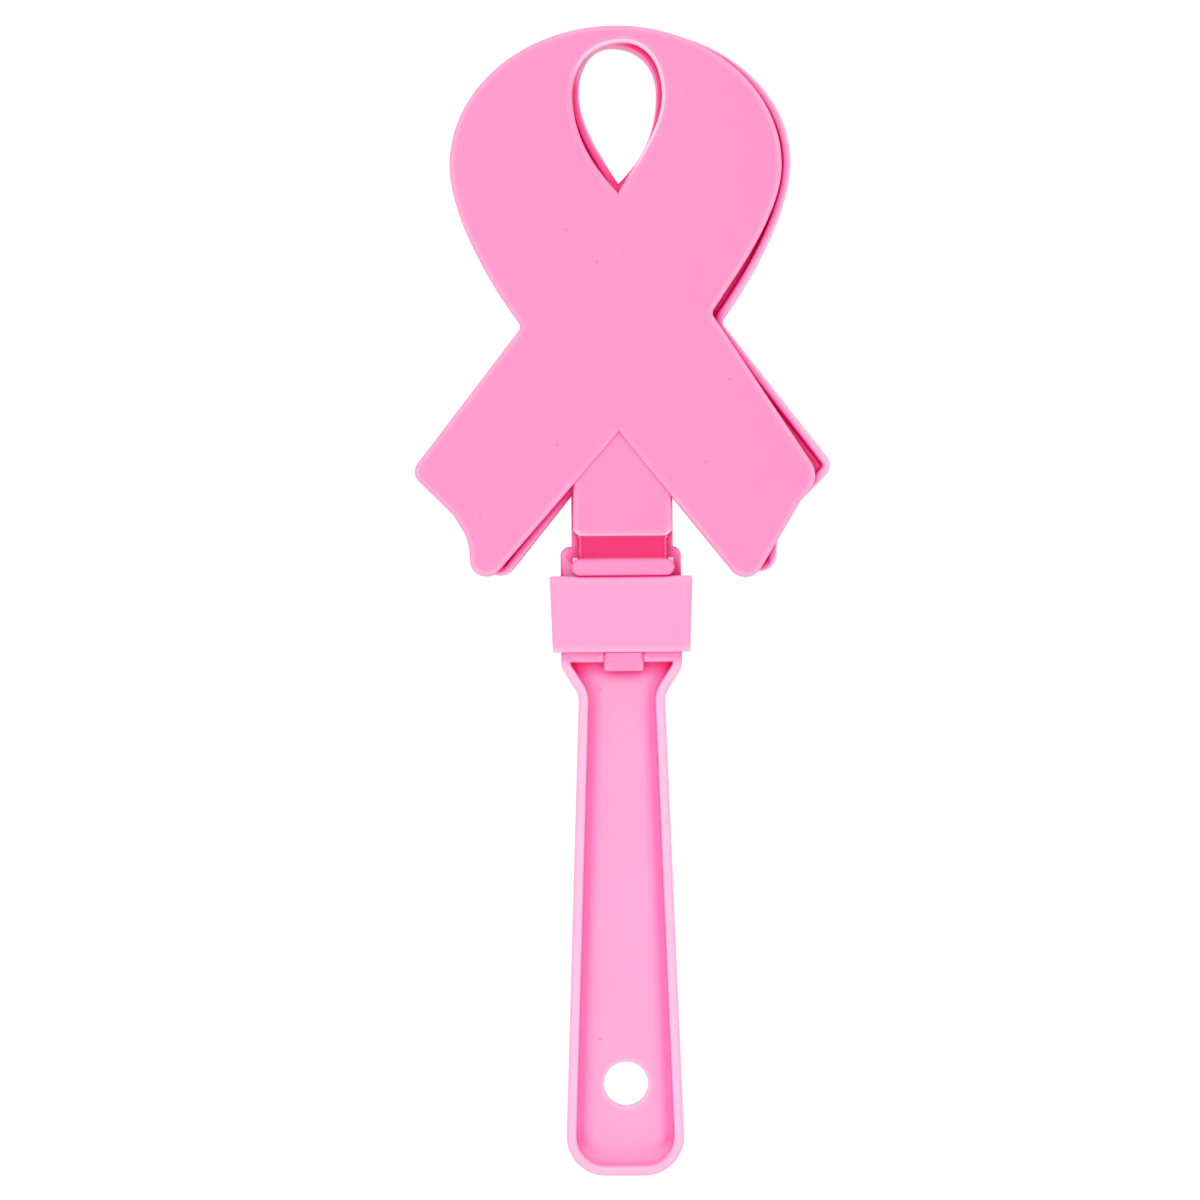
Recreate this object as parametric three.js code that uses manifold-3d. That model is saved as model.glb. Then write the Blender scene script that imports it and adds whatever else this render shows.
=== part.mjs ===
// A ribbon-shaped hand clapper, in millimetres.
// It lies on its back: +X across, +Y from the handle towards the ribbon, +Z out of the front.
// The origin is the centre of the collar's back face.
import * as THREE from "three";
import { mergeVertices } from "three/addons/utils/BufferGeometryUtils.js";
import Module from "manifold-3d";

const wasm = await Module();
wasm.setup();

// Walls of the handle moulding, an open tray on both sides of one middle floor
const FLOOR_THICKNESS = 1.6;
const TRAY_DEPTH = 4.0;
const TRAY_RIM = 1.5;
const GRIP_DEPTH = 9.0;
const GRIP_RIM = 1.6;

// Head of the handle, which the collar goes round, and the neck above it
const HEAD_WIDTH = 20.0;
const NECK_WIDTH = 16.8;
const NECK_SHIFT = 0.25;
const SHOULDER_ABOVE_COLLAR = 4.9;
const SHOULDER_RADIUS = 1.55;
const CROSS_WALL_BELOW_COLLAR = 1.65;

// Grip, measured down from the collar
const GRIP_LENGTH = 86.65;
const GRIP_ENTRY = 0.5;
const THROAT_WIDTH = 14.25;
const GRIP_END_WIDTH = 19.9;
const GRIP_END_RADIUS = 6.5;
const THROAT_START = 2.5;
const THROAT_LENGTH = 4.6;
const THROAT_OUTER_RADIUS = 2.5;
const THROAT_INNER_RADIUS = 3.5;
const HANG_HOLE_DIAMETER = 7.36;
const HANG_HOLE_FROM_END = 14.75;
const HANG_HOLE_X = 0.2;

// Collar, a sleeve with a rectangular bore
const COLLAR_LENGTH = 12.6;
const COLLAR_WALL = 1.4;
const COLLAR_SIDE_WALL = 1.55;
const COLLAR_TAPER = 0.45;
const SLIDE_CLEARANCE = 0.1;
const SIDE_CLEARANCE = 0.25;
const SEAT_CLEARANCE = 0.3;

// Ribbon outline, heights measured up from the collar's top edge
const LOOP_CENTRE_X = -0.35;
const LOOP_HALF_WIDTH = 27.5;
const LOOP_HEIGHT = 68.0;
const LOOP_RISE = 23.1;
const FLANK_DROP = 7.5;
const NOTCH_RADIUS = 1.2;
const LEFT_NOTCH_X = -16.1;
const LEFT_NOTCH_HEIGHT = 41.4;
const LEFT_FLANK_LEAN = 6.0;
const LEFT_FLANK_REACH = 7.9;
const RIGHT_NOTCH_X = 15.3;
const RIGHT_NOTCH_HEIGHT = 43.4;
const RIGHT_FLANK_LEAN = 2.6;
const RIGHT_FLANK_REACH = 3.9;

// The legs' outer corners are LEG_SPAN apart, and each foot and tip is so far in from its corner
const LEG_SPAN = 68.15;
const LEG_CENTRE_X = -0.675;
const LEFT_CORNER_HEIGHT = 17.3;
const LEFT_CORNER_RADIUS = 2.2;
const LEFT_FOOT_IN = 9.75;
const LEFT_FOOT_HEIGHT = 7.6;
const LEFT_FOOT_RADIUS = 11.0;
const LEFT_TIP_IN = 9.75;
const LEFT_TIP_HEIGHT = -4.4;
const LEFT_TIP_RADIUS = 2.7;
const CROTCH_X = -0.15;
const CROTCH_HEIGHT = 23.8;
const RIGHT_TIP_IN = 12.4;
const RIGHT_TIP_HEIGHT = -2.55;
const RIGHT_TIP_RADIUS = 2.95;
const RIGHT_FOOT_IN = 3.5;
const RIGHT_FOOT_HEIGHT = 12.3;
const RIGHT_FOOT_RADIUS = 4.0;
const RIGHT_CORNER_HEIGHT = 15.9;
const RIGHT_CORNER_RADIUS = 4.0;

// Drop-shaped hole in each ribbon plate
const DROP_APEX_BELOW_LOOP = 4.5;
const DROP_LENGTH = 24.85;
const DROP_WIDTH = 14.85;
const DROP_ROUND_RISE = 8.7;
const DROP_TOP_LEAN = 1.0;
const DROP_CROWN_FULLNESS = 0.6;
const DROP_LEFT_FULLNESS = 5.2;
const DROP_RIGHT_FULLNESS = 3.2;
const MIDDLE_DROP_MARGIN = 1.0;
const MIDDLE_DROP_SHIFT = -0.85;

// How far the ribbons lie out of line with each other, as they do in use
const MIDDLE_RIBBON_SHIFT_X = 0.9;
const MIDDLE_RIBBON_SHIFT_Y = 0.65;
const REAR_RIBBON_SHIFT_X = -0.5;
const REAR_RIBBON_SHIFT_Y = 0.6;

// The middle ribbon's crown is a little lower than the plates', and one leg is narrower
const MIDDLE_CROWN_DROP = 0.9;
const MIDDLE_LEG_TRIM = 0.33;

// Clapper moulding: plate, tongue, thin hinge web, stop bar, root strip and snap tail
const PLATE_THICKNESS = 1.9;
const CLAP_GAP = 0.4;
const ROOT_SHIFT = 0.35;
const TONGUE_WIDTH = 16.46;
const TONGUE_THICKNESS = 1.4;
const TONGUE_RADIUS = 0.8;
const WEB_WIDTH = 14.44;
const WEB_LENGTH = 3.75;
const WEB_THICKNESS = 0.5;
const WEB_CLIMB = 1.2;
const BAR_WIDTH = 16.96;
const BAR_LENGTH = 2.8;
const BAR_STAND = 0.3;
const STRIP_WIDTH = 14.4;
const LOCATOR_WIDTH = 9.0;
const LOCATOR_LENGTH = 5.0;
const LOCATOR_DEPTH = 0.9;
const TAIL_WIDTH = 6.58;
const TAIL_LENGTH = 3.15;
const TAIL_RADIUS = 0.5;
const CATCH_HEIGHT = 0.6;
const CATCH_GAP = 0.15;

// Steps in a quarter turn of a rounded corner, in a curve and round a hole
const ARC_STEPS = 7;
const CURVE_STEPS = 10;
const HOLE_STEPS = 32;

// Share of a bar's breadth that its round end takes, just under half
const ROUND_END = 0.499;

// Points closer than this are one point, and a smaller turn has no corner to round
const WELD_DISTANCE = 1e-4;
const LEAST_TURN = 0.01;

// Levels and places that follow from the sizes above
const BORE_DEPTH = GRIP_DEPTH + 2 * SLIDE_CLEARANCE;
const BORE_WIDTH = HEAD_WIDTH + 2 * SIDE_CLEARANCE;
const COLLAR_DEPTH = BORE_DEPTH + 2 * COLLAR_WALL;
const MIDDLE_Z = COLLAR_DEPTH / 2;
const COLLAR_TOP = COLLAR_LENGTH / 2;
const COLLAR_BOTTOM = -COLLAR_LENGTH / 2;
const TRAY_TOP_Z = MIDDLE_Z + TRAY_DEPTH / 2;
const SEAT_Z = TRAY_TOP_Z + SEAT_CLEARANCE;
const STRIP_TOP_Z = MIDDLE_Z + BORE_DEPTH / 2 - SEAT_CLEARANCE;
const BAR_TOP_Z = COLLAR_DEPTH + BAR_STAND;
const PLATE_Z = TRAY_TOP_Z + CLAP_GAP;
const BAR_TOP_Y = COLLAR_TOP + BAR_LENGTH;
const TONGUE_END_Y = BAR_TOP_Y + WEB_LENGTH;
const GRIP_TOP_Y = COLLAR_BOTTOM + GRIP_ENTRY;
const CROSS_WALL_Y = COLLAR_BOTTOM - CROSS_WALL_BELOW_COLLAR;
const DROP_APEX_HEIGHT = LOOP_HEIGHT - DROP_APEX_BELOW_LOOP;
const PAST = 1.0;

// Turning meshes into solids and back

function solid(geometry) {
  const bare = geometry.clone();
  bare.deleteAttribute("normal");
  bare.deleteAttribute("uv");
  const merged = mergeVertices(bare, WELD_DISTANCE);
  const mesh = new wasm.Mesh({
    numProp: 3,
    vertProperties: new Float32Array(merged.attributes.position.array),
    triVerts: new Uint32Array(merged.index.array),
  });
  return new wasm.Manifold(mesh);
}

function join(first, ...others) {
  return others.reduce((sum, piece) => sum.add(piece), first);
}

function cut(body, ...tools) {
  return tools.reduce((rest, tool) => rest.subtract(tool), body);
}

function namedMesh(name, body, material) {
  const { numProp, vertProperties, triVerts } = body.getMesh();
  const geometry = new THREE.BufferGeometry();
  const positions = new THREE.BufferAttribute(vertProperties, numProp);
  geometry.setAttribute("position", positions);
  geometry.setIndex(new THREE.BufferAttribute(triVerts, 1));
  geometry.computeVertexNormals();
  const mesh = new THREE.Mesh(geometry, material);
  mesh.name = name;
  return mesh;
}

// Outlines are lists of corners { x, y, r }, anticlockwise, where r rounds the corner

function corner(x, y, r = 0) {
  return { x, y, r };
}

function neighbours(corners, i) {
  const count = corners.length;
  return [corners[(i + count - 1) % count], corners[i], corners[(i + 1) % count]];
}

function direction(from, to) {
  return new THREE.Vector2(to.x - from.x, to.y - from.y).normalize();
}

function roundedPoints(corners) {
  const points = [];
  corners.forEach((_, i) => {
    const [before, here, after] = neighbours(corners, i);
    const inward = direction(before, here);
    const onward = direction(here, after);
    const turn = Math.atan2(inward.cross(onward), inward.dot(onward));
    if (!here.r || Math.abs(turn) < LEAST_TURN) {
      points.push(new THREE.Vector2(here.x, here.y));
      return;
    }
    const side = Math.sign(turn);
    const run = here.r * Math.tan(Math.abs(turn) / 2);
    const start = new THREE.Vector2(here.x, here.y).addScaledVector(inward, -run);
    const toCentre = new THREE.Vector2(-inward.y, inward.x).multiplyScalar(side * here.r);
    const centre = start.clone().add(toCentre);
    const steps = Math.max(2, Math.ceil((ARC_STEPS * Math.abs(turn)) / (Math.PI / 2)));
    for (let k = 0; k <= steps; k++) {
      points.push(start.clone().rotateAround(centre, (turn * k) / steps));
    }
  });
  return points;
}

function inset(corners, distance) {
  return corners.map((_, i) => {
    const [before, here, after] = neighbours(corners, i);
    const inward = direction(before, here);
    const onward = direction(here, after);
    const share = distance / (1 + inward.dot(onward));
    const convex = inward.cross(onward) > 0;
    const radius = here.r + (convex ? -distance : distance);
    return corner(
      here.x - share * (inward.y + onward.y),
      here.y + share * (inward.x + onward.x),
      here.r ? Math.max(0, radius) : 0,
    );
  });
}

function mirrored(corners) {
  return corners.map(({ x, y, r }) => corner(-x, y, r)).reverse();
}

function moved(corners, dx, dy) {
  return corners.map(({ x, y, r }) => corner(x + dx, y + dy, r));
}

function curveCorners(curve) {
  return curve.getPoints(CURVE_STEPS).map(({ x, y }) => corner(x, y));
}

function rectangle(left, right, low, high, r = 0) {
  return [
    corner(left, low, r),
    corner(right, low, r),
    corner(right, high, r),
    corner(left, high, r),
  ];
}

function slab(corners, lowZ, highZ) {
  const shape = new THREE.Shape(roundedPoints(corners));
  const depth = highZ - lowZ;
  const geometry = new THREE.ExtrudeGeometry(shape, { depth, bevelEnabled: false });
  return solid(geometry.translate(0, 0, lowZ));
}

// The loop as curves, the crossed legs as rounded corners, anticlockwise from the left notch
function ribbonCorners(crownDrop = 0, rightLegTrim = 0) {
  const base = COLLAR_TOP;
  const waist = base + LOOP_HEIGHT;
  const leftNotch = new THREE.Vector2(LEFT_NOTCH_X, base + LEFT_NOTCH_HEIGHT);
  const rightNotch = new THREE.Vector2(RIGHT_NOTCH_X, base + RIGHT_NOTCH_HEIGHT);
  const leftWaist = new THREE.Vector2(LOOP_CENTRE_X - LOOP_HALF_WIDTH, waist);
  const rightWaist = new THREE.Vector2(LOOP_CENTRE_X + LOOP_HALF_WIDTH, waist);
  const flankEnd = rightNotch.clone().add(new THREE.Vector2(RIGHT_FLANK_LEAN, RIGHT_FLANK_REACH));
  const flankPull = flankEnd.clone().add(new THREE.Vector2(RIGHT_FLANK_LEAN, RIGHT_FLANK_REACH));
  const below = new THREE.Vector2(0, -FLANK_DROP);
  const rightFlank = new THREE.CubicBezierCurve(
    flankEnd,
    flankPull,
    rightWaist.clone().add(below),
    rightWaist,
  );
  const leftFlank = new THREE.CubicBezierCurve(
    leftWaist,
    leftWaist.clone().add(below),
    leftNotch.clone().add(new THREE.Vector2(-LEFT_FLANK_LEAN, LEFT_FLANK_REACH)),
    leftNotch,
  );
  const crown = new THREE.EllipseCurve(
    LOOP_CENTRE_X,
    waist,
    LOOP_HALF_WIDTH,
    LOOP_RISE - crownDrop,
    0,
    Math.PI,
  );
  const crownCorners = crown.getPoints(3 * CURVE_STEPS).map(({ x, y }) => corner(x, y));
  const leftEnd = LEG_CENTRE_X - LEG_SPAN / 2;
  const rightEnd = LEG_CENTRE_X + LEG_SPAN / 2;
  const rightTipX = rightEnd - RIGHT_TIP_IN + rightLegTrim;
  return [
    corner(leftNotch.x, leftNotch.y, NOTCH_RADIUS),
    corner(leftEnd, base + LEFT_CORNER_HEIGHT, LEFT_CORNER_RADIUS),
    corner(leftEnd + LEFT_FOOT_IN, base + LEFT_FOOT_HEIGHT, LEFT_FOOT_RADIUS),
    corner(leftEnd + LEFT_TIP_IN, base + LEFT_TIP_HEIGHT, LEFT_TIP_RADIUS),
    corner(CROTCH_X + rightLegTrim, base + CROTCH_HEIGHT),
    corner(rightTipX, base + RIGHT_TIP_HEIGHT, RIGHT_TIP_RADIUS),
    corner(rightEnd - RIGHT_FOOT_IN, base + RIGHT_FOOT_HEIGHT, RIGHT_FOOT_RADIUS),
    corner(rightEnd, base + RIGHT_CORNER_HEIGHT, RIGHT_CORNER_RADIUS),
    corner(rightNotch.x, rightNotch.y, NOTCH_RADIUS),
    ...curveCorners(rightFlank).slice(0, -1),
    ...crownCorners,
    ...curveCorners(leftFlank).slice(1, -1),
  ];
}

// A drop with its point down and its crown leaning to the right, smaller all round by a margin
function dropCorners(margin = 0) {
  const point = (x, y) => new THREE.Vector2(x, y);
  const apex = point(0, COLLAR_TOP + DROP_APEX_HEIGHT + margin);
  const top = point(DROP_TOP_LEAN, apex.y + DROP_LENGTH - 2 * margin);
  const half = DROP_WIDTH / 2 - margin;
  const rise = DROP_ROUND_RISE - margin;
  const shoulderY = top.y - rise;
  const lowY = apex.y + (shoulderY - apex.y) / 3;
  const midY = shoulderY - (shoulderY - apex.y) / 3;
  const highY = shoulderY + DROP_CROWN_FULLNESS * rise;
  const rightPull = top.x + DROP_CROWN_FULLNESS * (half - top.x);
  const leftPull = top.x - DROP_CROWN_FULLNESS * (half + top.x);
  const rightShoulder = point(half, shoulderY);
  const leftShoulder = point(-half, shoulderY);
  const anticlockwise = [
    [apex, point(DROP_RIGHT_FULLNESS, lowY), point(half, midY), rightShoulder],
    [rightShoulder, point(half, highY), point(rightPull, top.y), top],
    [top, point(leftPull, top.y), point(-half, highY), leftShoulder],
    [leftShoulder, point(-half, midY), point(-DROP_LEFT_FULLNESS, lowY), apex],
  ];
  const curves = anticlockwise.map((points) => new THREE.CubicBezierCurve(...points));
  return curves.flatMap((curve) => curveCorners(curve).slice(0, -1));
}

// Head, shoulders and neck, from the cross wall up into the crossing of the legs
function neckCorners() {
  const shoulderY = COLLAR_TOP + SHOULDER_ABOVE_COLLAR;
  const neckTop = COLLAR_TOP + CROTCH_HEIGHT + NECK_WIDTH / 2;
  const half = HEAD_WIDTH / 2;
  const neckLeft = NECK_SHIFT - NECK_WIDTH / 2;
  const neckRight = NECK_SHIFT + NECK_WIDTH / 2;
  return [
    corner(-half, CROSS_WALL_Y),
    corner(half, CROSS_WALL_Y),
    corner(half, shoulderY, SHOULDER_RADIUS),
    corner(neckRight, shoulderY),
    corner(neckRight, neckTop),
    corner(neckLeft, neckTop),
    corner(neckLeft, shoulderY),
    corner(-half, shoulderY, SHOULDER_RADIUS),
  ];
}

// The tray's recess in the neck starts above the head, which is solid up to the shoulders
function neckRecessCorners() {
  const low = COLLAR_TOP + SHOULDER_ABOVE_COLLAR;
  const high = COLLAR_TOP + CROTCH_HEIGHT + NECK_WIDTH / 2 - TRAY_RIM;
  const half = NECK_WIDTH / 2 - TRAY_RIM;
  return rectangle(NECK_SHIFT - half, NECK_SHIFT + half, low, high);
}

// The grip from its open top down to its round end
function gripCorners(topY) {
  const throatTop = COLLAR_BOTTOM - THROAT_START;
  const throatEnd = throatTop - THROAT_LENGTH;
  const endY = COLLAR_BOTTOM - GRIP_LENGTH;
  const head = HEAD_WIDTH / 2;
  const throat = THROAT_WIDTH / 2;
  const end = GRIP_END_WIDTH / 2;
  return [
    corner(head, topY),
    corner(-head, topY),
    corner(-head, throatTop, THROAT_OUTER_RADIUS),
    corner(-throat, throatEnd, THROAT_INNER_RADIUS),
    corner(-end, endY, GRIP_END_RADIUS),
    corner(end, endY, GRIP_END_RADIUS),
    corner(throat, throatEnd, THROAT_INNER_RADIUS),
    corner(head, throatTop, THROAT_OUTER_RADIUS),
  ];
}

// The same recess on both sides of the middle floor
function bothSides(corners, outerDepth) {
  const floorTop = MIDDLE_Z + FLOOR_THICKNESS / 2;
  const floorBottom = MIDDLE_Z - FLOOR_THICKNESS / 2;
  const outside = outerDepth / 2 + PAST;
  const front = slab(corners, floorTop, MIDDLE_Z + outside);
  const rear = slab(corners, MIDDLE_Z - outside, floorBottom);
  return [front, rear];
}

function middleRibbon() {
  const lowZ = MIDDLE_Z - TRAY_DEPTH / 2;
  const outline = moved(
    mirrored(ribbonCorners(MIDDLE_CROWN_DROP, MIDDLE_LEG_TRIM)),
    MIDDLE_RIBBON_SHIFT_X,
    MIDDLE_RIBBON_SHIFT_Y,
  );
  const drop = moved(
    mirrored(dropCorners(MIDDLE_DROP_MARGIN)),
    MIDDLE_RIBBON_SHIFT_X + MIDDLE_DROP_SHIFT,
    MIDDLE_RIBBON_SHIFT_Y,
  );
  const dropRim = slab(inset(drop, -TRAY_RIM), lowZ, TRAY_TOP_Z);
  const plate = join(slab(outline, lowZ, TRAY_TOP_Z), slab(neckCorners(), lowZ, TRAY_TOP_Z));
  const tray = cut(
    plate,
    ...bothSides(inset(outline, TRAY_RIM), TRAY_DEPTH),
    ...bothSides(neckRecessCorners(), TRAY_DEPTH),
  );
  return cut(join(tray, dropRim), slab(drop, lowZ - PAST, TRAY_TOP_Z + PAST));
}

// The grip's recess ends at a cross wall, which is notched for the snap tails
function gripTray() {
  const pastTop = GRIP_TOP_Y + GRIP_RIM + PAST;
  const body = slab(
    gripCorners(GRIP_TOP_Y),
    MIDDLE_Z - GRIP_DEPTH / 2,
    MIDDLE_Z + GRIP_DEPTH / 2,
  );
  const crossWall = slab(
    rectangle(-HEAD_WIDTH, HEAD_WIDTH, CROSS_WALL_Y, pastTop),
    MIDDLE_Z - GRIP_DEPTH,
    MIDDLE_Z + GRIP_DEPTH,
  );
  const recess = bothSides(inset(gripCorners(pastTop), GRIP_RIM), GRIP_DEPTH);
  const recessBelowWall = recess.map((tool) => cut(tool, crossWall));
  return cut(body, ...recessBelowWall, ...tailNotches());
}

function tailNotches() {
  const halfWidth = TAIL_WIDTH / 2 + SEAT_CLEARANCE;
  const lowY = CROSS_WALL_Y - PAST;
  const highY = GRIP_TOP_Y + PAST;
  const outside = GRIP_DEPTH / 2 + PAST;
  const frontX = ROOT_SHIFT;
  const rearX = -ROOT_SHIFT;
  const front = slab(
    rectangle(frontX - halfWidth, frontX + halfWidth, lowY, highY),
    TRAY_TOP_Z,
    MIDDLE_Z + outside,
  );
  const rear = slab(
    rectangle(rearX - halfWidth, rearX + halfWidth, lowY, highY),
    MIDDLE_Z - outside,
    MIDDLE_Z - TRAY_DEPTH / 2,
  );
  return [front, rear];
}

function locatorPocket() {
  const play = SEAT_CLEARANCE + ROOT_SHIFT;
  const halfWidth = LOCATOR_WIDTH / 2 + play;
  const halfLength = LOCATOR_LENGTH / 2 + SEAT_CLEARANCE;
  const depth = LOCATOR_DEPTH;
  const outline = rectangle(-halfWidth, halfWidth, -halfLength, halfLength);
  const front = slab(outline, TRAY_TOP_Z - depth, TRAY_TOP_Z + PAST);
  const rearTop = MIDDLE_Z - TRAY_DEPTH / 2;
  const rear = slab(outline, rearTop - PAST, rearTop + depth);
  return [front, rear];
}

function hangHole() {
  const y = COLLAR_BOTTOM - GRIP_LENGTH + HANG_HOLE_FROM_END;
  const radius = HANG_HOLE_DIAMETER / 2;
  const drill = new THREE.CylinderGeometry(radius, radius, GRIP_DEPTH + PAST, HOLE_STEPS);
  return solid(drill.rotateX(Math.PI / 2).translate(HANG_HOLE_X, y, MIDDLE_Z));
}

// Handle, middle ribbon and everything between them, moulded in one
function handleSolid() {
  return cut(join(middleRibbon(), gripTray()), ...locatorPocket(), hangHole());
}

function collarSolid() {
  const top = BORE_WIDTH / 2 + COLLAR_SIDE_WALL;
  const bottom = top - COLLAR_TAPER;
  const outline = [
    corner(-bottom, COLLAR_BOTTOM),
    corner(bottom, COLLAR_BOTTOM),
    corner(top, COLLAR_TOP),
    corner(-top, COLLAR_TOP),
  ];
  const bore = new THREE.BoxGeometry(BORE_WIDTH, COLLAR_LENGTH + 2 * PAST, BORE_DEPTH);
  return cut(slab(outline, 0, COLLAR_DEPTH), solid(bore.translate(0, 0, MIDDLE_Z)));
}

// A clapper's ribbon plate with its tongue, which lies a little lower than the plate's face
function clapperSolid(shiftX, shiftY) {
  const topZ = PLATE_Z + PLATE_THICKNESS;
  const outline = moved(ribbonCorners(), shiftX, shiftY);
  const drop = moved(dropCorners(), shiftX, shiftY);
  const plate = cut(slab(outline, PLATE_Z, topZ), slab(drop, PLATE_Z - PAST, topZ + PAST));
  const tongueX = ROOT_SHIFT + shiftX;
  const tongue = rectangle(
    tongueX - TONGUE_WIDTH / 2,
    tongueX + TONGUE_WIDTH / 2,
    TONGUE_END_Y + shiftY,
    COLLAR_TOP + CROTCH_HEIGHT + TONGUE_WIDTH / 2,
    TONGUE_RADIUS,
  );
  return join(plate, slab(tongue, PLATE_Z, PLATE_Z + TONGUE_THICKNESS));
}

// The thin web climbs from the middle of the tongue's end to the stop bar
function webSolid(shiftX, shiftY) {
  const tongueMiddle = PLATE_Z + TONGUE_THICKNESS / 2;
  const half = WEB_THICKNESS / 2;
  const section = [
    corner(TONGUE_END_Y + shiftY, tongueMiddle - half),
    corner(TONGUE_END_Y + shiftY, tongueMiddle + half),
    corner(BAR_TOP_Y, tongueMiddle + WEB_CLIMB + half),
    corner(BAR_TOP_Y, tongueMiddle + WEB_CLIMB - half),
  ];
  const shape = new THREE.Shape(roundedPoints(section));
  const web = new THREE.ExtrudeGeometry(shape, { depth: WEB_WIDTH, bevelEnabled: false });
  const turned = new THREE.Matrix4().set(0, 0, 1, 0, 1, 0, 0, 0, 0, 1, 0, 0, 0, 0, 0, 1);
  web.applyMatrix4(turned);
  return solid(web.translate(ROOT_SHIFT + shiftX / 2 - WEB_WIDTH / 2, 0, 0));
}

// Stop bar above the collar, root strip inside it, and a snap tail with a catch below it
function anchorSolid() {
  const across = (width) => [ROOT_SHIFT - width / 2, ROOT_SHIFT + width / 2];
  const tailEnd = COLLAR_BOTTOM - TAIL_LENGTH;
  const stripEnd = GRIP_TOP_Y + SEAT_CLEARANCE;
  const bar = slab(
    rectangle(...across(BAR_WIDTH), COLLAR_TOP, BAR_TOP_Y, ROUND_END * BAR_LENGTH),
    SEAT_Z,
    BAR_TOP_Z,
  );
  const strip = slab(
    rectangle(...across(STRIP_WIDTH), stripEnd, BAR_TOP_Y - BAR_LENGTH / 2),
    SEAT_Z,
    STRIP_TOP_Z,
  );
  const locator = slab(
    rectangle(...across(LOCATOR_WIDTH), -LOCATOR_LENGTH / 2, LOCATOR_LENGTH / 2),
    TRAY_TOP_Z - LOCATOR_DEPTH + SEAT_CLEARANCE,
    STRIP_TOP_Z,
  );
  const tail = slab(
    rectangle(...across(TAIL_WIDTH), tailEnd, stripEnd + PAST, TAIL_RADIUS),
    SEAT_Z,
    STRIP_TOP_Z,
  );
  const catchBlock = slab(
    rectangle(...across(TAIL_WIDTH), tailEnd, COLLAR_BOTTOM - CATCH_GAP, TAIL_RADIUS),
    SEAT_Z,
    MIDDLE_Z + BORE_DEPTH / 2 + CATCH_HEIGHT,
  );
  return join(bar, strip, locator, tail, catchBlock);
}

// One clapper moulding as three nodes, seen from its own outer side
function clapperGroup(side, shiftX, shiftY) {
  const group = new THREE.Group();
  group.add(
    namedMesh(side + "_clapper", clapperSolid(shiftX, shiftY), clapperPink),
    namedMesh(side + "_hinge_web", webSolid(shiftX, shiftY), webPink),
    namedMesh(side + "_anchor", anchorSolid(), clapperPink),
  );
  return group;
}

const handlePink = new THREE.MeshStandardMaterial({
  color: 0xfea8d6,
  roughness: 0.45,
  metalness: 0,
});
const collarPink = new THREE.MeshStandardMaterial({
  color: 0xfea8d5,
  roughness: 0.4,
  metalness: 0,
});
const clapperPink = new THREE.MeshStandardMaterial({
  color: 0xfd99cb,
  roughness: 0.45,
  metalness: 0,
});
const webPink = new THREE.MeshStandardMaterial({
  color: 0xf4377a,
  roughness: 0.5,
  metalness: 0,
});

const handClapper = new THREE.Group();
handClapper.add(namedMesh("handle", handleSolid(), handlePink));
handClapper.add(namedMesh("collar", collarSolid(), collarPink));
handClapper.add(clapperGroup("front", 0, 0));

// The rear clapper is the same moulding turned over about the long axis
const rear = clapperGroup("rear", REAR_RIBBON_SHIFT_X, REAR_RIBBON_SHIFT_Y);
rear.rotation.y = Math.PI;
rear.position.z = COLLAR_DEPTH;
handClapper.add(rear);

export default handClapper;
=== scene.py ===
import math
from collections import namedtuple

import bmesh
import bpy
from mathutils import Matrix, Vector
from mathutils.geometry import tessellate_polygon


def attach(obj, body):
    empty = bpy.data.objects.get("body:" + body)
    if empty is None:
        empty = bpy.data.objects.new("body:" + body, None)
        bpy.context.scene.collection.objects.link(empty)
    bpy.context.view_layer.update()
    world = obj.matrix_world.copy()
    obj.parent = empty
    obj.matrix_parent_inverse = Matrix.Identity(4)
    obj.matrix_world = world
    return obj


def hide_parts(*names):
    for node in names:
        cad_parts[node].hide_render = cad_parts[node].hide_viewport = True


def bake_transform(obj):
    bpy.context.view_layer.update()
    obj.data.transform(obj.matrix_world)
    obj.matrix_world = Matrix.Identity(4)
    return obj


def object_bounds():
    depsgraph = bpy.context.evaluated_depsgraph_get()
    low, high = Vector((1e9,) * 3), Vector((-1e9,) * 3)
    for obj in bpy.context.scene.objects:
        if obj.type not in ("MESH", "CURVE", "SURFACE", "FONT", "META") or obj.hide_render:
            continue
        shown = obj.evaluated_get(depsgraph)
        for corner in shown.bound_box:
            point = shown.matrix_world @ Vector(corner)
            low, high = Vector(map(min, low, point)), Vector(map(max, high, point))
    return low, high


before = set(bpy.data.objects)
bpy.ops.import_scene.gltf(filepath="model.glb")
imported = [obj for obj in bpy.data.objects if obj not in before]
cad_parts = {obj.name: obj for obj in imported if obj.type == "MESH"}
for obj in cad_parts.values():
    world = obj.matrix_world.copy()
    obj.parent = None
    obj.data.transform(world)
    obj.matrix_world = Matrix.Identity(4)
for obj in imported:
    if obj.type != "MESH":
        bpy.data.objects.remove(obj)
cad_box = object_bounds()

MM = 0.001

# The photograph's camera: straight above the plates and a little turned, with so much of their plane
# in the frame
CAMERA_HEIGHT = 600.0
CAMERA_X = -3.504
CAMERA_Y = 2.344
CAMERA_TURN = -0.456
FRAME_WIDTH = 198.48
SENSOR_WIDTH = 36.0

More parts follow.
